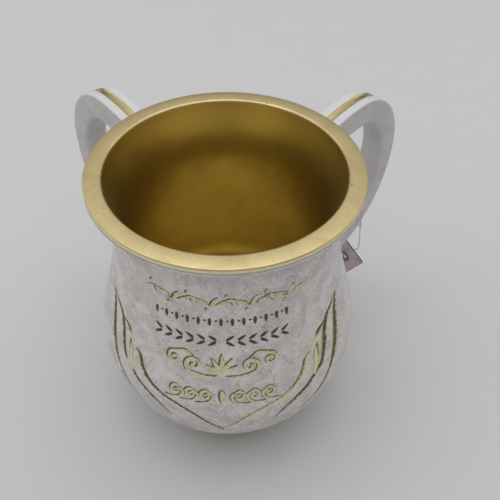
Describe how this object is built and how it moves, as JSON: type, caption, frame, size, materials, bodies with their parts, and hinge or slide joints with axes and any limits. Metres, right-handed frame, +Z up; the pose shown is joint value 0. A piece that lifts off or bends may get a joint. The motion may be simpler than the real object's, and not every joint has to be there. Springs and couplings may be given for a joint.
{
  "type": "ritual hand-washing cup",
  "caption": "Ritual hand-washing cup: cast body with engraved open hands, spun metal liner with flanged rim, flat ear handles with gilt channels, gilt foot, hanging card tag.",
  "frame": {"origin": "centre of the underside of the base pad, on the axis of the cup", "axes": "+Z up along the cup's axis, the engraved front faces -Y, +X to the right seen from the front"},
  "size_m": [0.148, 0.1341, 0.125],
  "materials": {
    "cast_white": "satin",
    "spun_gold": "satin",
    "gilt": "satin",
    "felt": "matte",
    "card": "matte",
    "steel": "satin",
    "nylon": "gloss"
  },
  "bodies": {
    "cup": {"cup_body": "cast_white", "cup_liner": "spun_gold", "foot_ring": "gilt", "base_pad": "felt", "right_handle": "cast_white", "left_handle": "cast_white"},
    "tag": {"tag_card": "card", "tag_eyelet": "steel", "tag_loop": "nylon"}
  },
  "joints": [
    {"name": "tag_swing", "type": "hinge", "parent": "cup", "child": "tag", "pos_m": [0.05621, 0.06242, 0.0612], "axis": [0.7431, -0.6691, 0], "range_deg": [-25, 60]}
  ]
}
